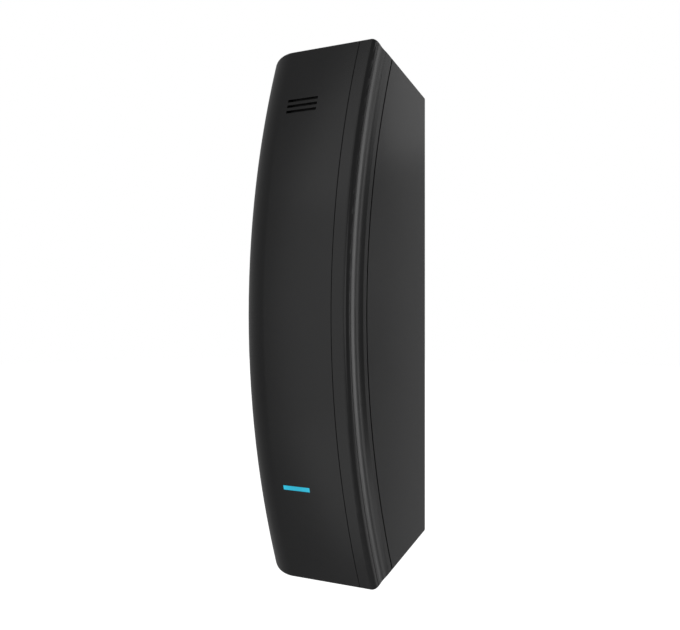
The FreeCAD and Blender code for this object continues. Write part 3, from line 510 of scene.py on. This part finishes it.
def card(name, start, turn, distance, aside, up, width, height, glow, shape="RECTANGLE"):
    """Near panel facing start; aside shifts it level, across its own direction."""
    away = towards(turn)
    across = Vector((-math.sin(turn), -math.cos(turn), 0))
    spot = start + away * distance + across * aside + Vector((0, 0, up))
    soft_light(name, spot, -away, shape, width, height, glow)


def add_lights():
    """Three far lamps, then the cards for the front and those for the right flank."""
    round_lamp("front_level", turn=60, rise=0, glow=0.60)
    round_lamp("right_high", turn=-12, rise=30, glow=0.85)
    round_lamp("rear_level", turn=-75, rise=0, glow=0.43)
    card("front_oval", FRONT_SPOT, FRONT_MIRROR, FRONT_DISTANCE, OVAL_ASIDE, 0.0,
         OVAL_WIDTH, OVAL_HEIGHT, glow=0.28, shape="ELLIPSE")
    for name, level, glow in BARS:
        card(name, FRONT_SPOT, FRONT_MIRROR, FRONT_DISTANCE, 0.0, level * BAR_HEIGHT,
             BAR_WIDTH, BAR_HEIGHT, glow)
    for name, column, glow in STRIPS:
        card(name, FLANK_SPOT, FLANK_MIRROR, FLANK_DISTANCE, column * STRIP_WIDTH, 0.0,
             STRIP_WIDTH, STRIP_HEIGHT, glow)
    card("flank_top", FLANK_SPOT, FLANK_MIRROR, FLANK_DISTANCE, TOP_ASIDE, END_RISE,
         TOP_WIDTH, TOP_HEIGHT, glow=0.50)
    card("right_low", FLANK_SPOT, LOW_TURN, LOW_DISTANCE, 0.0, -END_RISE,
         LOW_WIDTH, LOW_HEIGHT, glow=0.70)


# ---------------------------------------------------------------- surround, floor and camera

SURROUND_LEVEL = 0.23
FLOOR_DROP = 60 * MM
FLOOR_SIZE = 6
FLOOR_TONES = ((0.86, 0.86, 0.86), (0.9, 0.9, 0.9))
FLOOR_MOTTLE = 0.3
FLOOR_GLOW = 0.9
CAMERA_SPOT = Vector((283.3, -321.8, -0.2)) * MM
CAMERA_TURN = math.radians(42.35)
SENSOR_WIDTH = 36.0
LENS = 74.12


def seen_by_camera(tree, elsewhere, seen, into, socket):
    """One value for what the camera sees directly, and another for all light that bounces."""
    paths = node(tree, "ShaderNodeLightPath")
    join(tree, ramp(tree, paths, "Is Camera Ray", elsewhere, seen), "Result", into, socket)


def add_surround():
    """Soft white surround: pure white for the camera, dim for everything else."""
    world = bpy.data.worlds.new("studio")
    bpy.context.scene.world = world
    world.use_nodes = True
    tree = world.node_tree
    back = tree.nodes["Background"]
    back.inputs["Color"].default_value = WHITE
    seen_by_camera(tree, SURROUND_LEVEL, 1.0, back, "Strength")


def add_floor():
    """Pale floor below the reader; a camera underneath looks through it."""
    bpy.ops.mesh.primitive_plane_add(size=FLOOR_SIZE, location=(0, 0, CAD_LOW.z - FLOOR_DROP))
    floor = bpy.context.object
    floor.name = "floor"
    material, tree, bsdf = new_material("pale_floor")
    tint(tree, bsdf, noise(tree, place(tree), FLOOR_MOTTLE, detail=2.0), "Fac", FLOOR_TONES)
    bsdf.inputs["Roughness"].default_value = 0.9
    bsdf.inputs["Emission Color"].default_value = WHITE
    seen_by_camera(tree, 0.0, FLOOR_GLOW, bsdf, "Emission Strength")
    side = node(tree, "ShaderNodeNewGeometry")
    join(tree, ramp(tree, side, "Backfacing", 1.0, 0.0), "Result", bsdf, "Alpha")
    floor.data.materials.append(material)


def add_camera():
    """Level camera to the right of the reader's front."""
    data = bpy.data.cameras.new("camera")
    data.sensor_width = SENSOR_WIDTH
    data.lens = LENS
    camera = bpy.data.objects.new("camera", data)
    bpy.context.scene.collection.objects.link(camera)
    camera.location = CAMERA_SPOT
    look = Vector((-math.sin(CAMERA_TURN), math.cos(CAMERA_TURN), 0))
    camera.rotation_mode = "QUATERNION"
    camera.rotation_quaternion = look.to_track_quat("-Z", "Y")
    bpy.context.scene.camera = camera


dress(frame["nodes"].values())
add_chip()
add_floor()
add_surround()
add_lights()
add_camera()
bpy.context.scene.view_settings.view_transform = "Standard"
